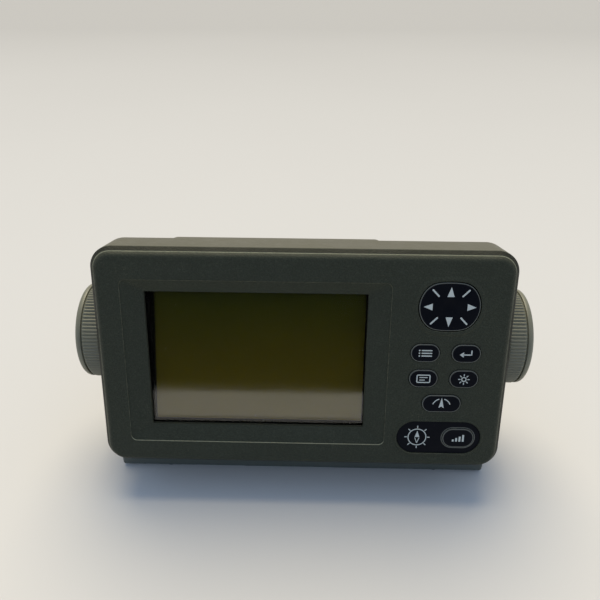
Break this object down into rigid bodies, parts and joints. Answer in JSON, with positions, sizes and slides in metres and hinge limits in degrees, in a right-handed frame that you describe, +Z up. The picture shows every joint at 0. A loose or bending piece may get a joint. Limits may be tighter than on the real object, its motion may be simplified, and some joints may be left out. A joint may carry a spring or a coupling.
{
  "type": "satellite compass display",
  "caption": "Marine compass display with recessed screen, cursor pad and keys, tilting between the arms of a U-bracket and held by knurled clamp knobs.",
  "frame": {"origin": "centre of the four fixing holes, on the underside of the bracket's base", "axes": "+X to the reader's right, +Y away from the reader, +Z up"},
  "size_m": [0.2226, 0.0925, 0.126],
  "materials": {
    "panel_plastic": "dark grey-olive plastic with a fine moulded grain",
    "case_paint": "grey-olive textured paint on a cast case",
    "bracket_paint": "dark grey-olive textured paint",
    "knob_plastic": "pale grey-green plastic, satin",
    "key_plastic": "blue-black key plastic, satin",
    "clear_window": "clear glossy window",
    "screen_glass": "dark olive screen glass behind a polariser",
    "screen_frame": "black sheet metal",
    "diffuser": "milky light guide",
    "circuit_board": "green solder mask",
    "rubber": "black rubber",
    "black_plastic": "black moulded plastic",
    "cable": "pale flat cable",
    "steel": "plated steel",
    "plated_metal": "nickel-plated brass",
    "brass": "brass",
    "aluminium": "bare aluminium"
  },
  "bodies": {
    "bracket": {"mounting_bracket": "bracket_paint", "arm_bushes": "steel", "rubber_feet": "rubber"},
    "display": {"front_panel": "panel_plastic", "display_window": "clear_window", "window_gasket": "rubber", "lcd_frame": "screen_frame", "lcd_glass": "screen_glass", "backlight_panel": "diffuser", "lcd_board": "circuit_board", "legend_plate": "key_plastic", "key_mat": "rubber", "key_board": "circuit_board", "dome_switches": "steel", "pad_carrier": "black_plastic", "case_seal": "rubber", "rear_housing": "case_paint", "cover_seal": "rubber", "rear_cover": "case_paint", "main_board": "circuit_board", "processor_chips": "black_plastic", "backup_battery": "steel", "buzzer": "black_plastic", "power_board": "circuit_board", "power_components": "black_plastic", "heat_spreader": "aluminium", "board_spacers": "steel", "board_screws": "steel", "flat_cables": "cable", "case_screws": "steel", "cover_screws": "steel", "side_inserts": "brass", "friction_washers": "rubber", "power_connector": "plated_metal", "antenna_connector": "plated_metal", "data_connector": "plated_metal", "connector_inserts": "black_plastic", "connector_pins": "brass", "connector_nuts": "plated_metal", "ground_stud": "brass", "ground_nut": "steel", "vent_plug": "rubber"},
    "left_clamp": {"left_pressure_washer": "steel"},
    "left_knob": {"left_knob": "knob_plastic", "left_stud": "steel", "left_knob_cap": "knob_plastic"},
    "right_clamp": {"right_pressure_washer": "steel"},
    "right_knob": {"right_knob": "knob_plastic", "right_stud": "steel", "right_knob_cap": "knob_plastic"},
    "pad_pivot": {"pad_pivot": "steel"},
    "cursor_pad": {"cursor_pad": "key_plastic"},
    "menu_key": {"menu_key": "key_plastic"},
    "enter_key": {"enter_key": "key_plastic"},
    "display_key": {"display_key": "key_plastic"},
    "dimmer_key": {"dimmer_key": "key_plastic"},
    "heading_key": {"heading_key": "key_plastic"},
    "status_key": {"status_key": "key_plastic"}
  },
  "joints": [
    {"name": "display_tilt", "type": "hinge", "parent": "bracket", "child": "display", "pos_m": [0, 0, 0.0662], "axis": [-1, 0, 0], "range_deg": [-20, 45]},
    {"name": "left_knob_advance", "type": "slide", "parent": "display", "child": "left_clamp", "axis": [-1, 0, 0], "range_m": [0, 0.00376]},
    {"name": "left_knob_turn", "type": "hinge", "parent": "left_clamp", "child": "left_knob", "pos_m": [-0.1, 0, 0.0662], "axis": [-1, 0, 0], "range_deg": [0, 1080]},
    {"name": "right_knob_advance", "type": "slide", "parent": "display", "child": "right_clamp", "axis": [1, 0, 0], "range_m": [0, 0.00376]},
    {"name": "right_knob_turn", "type": "hinge", "parent": "right_clamp", "child": "right_knob", "pos_m": [0.1, 0, 0.0662], "axis": [1, 0, 0], "range_deg": [0, 1080]},
    {"name": "pad_rock_up_down", "type": "hinge", "parent": "display", "child": "pad_pivot", "pos_m": [0.066, -0.02263, 0.09959], "axis": [1, 0, 0], "range_deg": [-2.5, 2.5], "stiffness_Nm_per_rad": 0.4},
    {"name": "pad_rock_left_right", "type": "hinge", "parent": "pad_pivot", "child": "cursor_pad", "pos_m": [0.066, -0.02263, 0.09959], "axis": [0, 0.2588, 0.9659], "range_deg": [-2.5, 2.5], "stiffness_Nm_per_rad": 0.4},
    {"name": "menu_key_press", "type": "slide", "parent": "display", "child": "menu_key", "axis": [0, 0.9659, -0.2588], "range_m": [0, 0.001], "stiffness_N_per_m": 800, "springref_m": -0.0006},
    {"name": "enter_key_press", "type": "slide", "parent": "display", "child": "enter_key", "axis": [0, 0.9659, -0.2588], "range_m": [0, 0.001], "stiffness_N_per_m": 800, "springref_m": -0.0006},
    {"name": "display_key_press", "type": "slide", "parent": "display", "child": "display_key", "axis": [0, 0.9659, -0.2588], "range_m": [0, 0.001], "stiffness_N_per_m": 800, "springref_m": -0.0006},
    {"name": "dimmer_key_press", "type": "slide", "parent": "display", "child": "dimmer_key", "axis": [0, 0.9659, -0.2588], "range_m": [0, 0.001], "stiffness_N_per_m": 800, "springref_m": -0.0006},
    {"name": "heading_key_press", "type": "slide", "parent": "display", "child": "heading_key", "axis": [0, 0.9659, -0.2588], "range_m": [0, 0.001], "stiffness_N_per_m": 800, "springref_m": -0.0006},
    {"name": "status_key_press", "type": "slide", "parent": "display", "child": "status_key", "axis": [0, 0.9659, -0.2588], "range_m": [0, 0.001], "stiffness_N_per_m": 800, "springref_m": -0.0006}
  ],
  "couplings": [
    {"joint": "left_knob_advance", "follows": "left_knob_turn", "m_per_rad": 0.00019894},
    {"joint": "right_knob_advance", "follows": "right_knob_turn", "m_per_rad": 0.00019894}
  ]
}
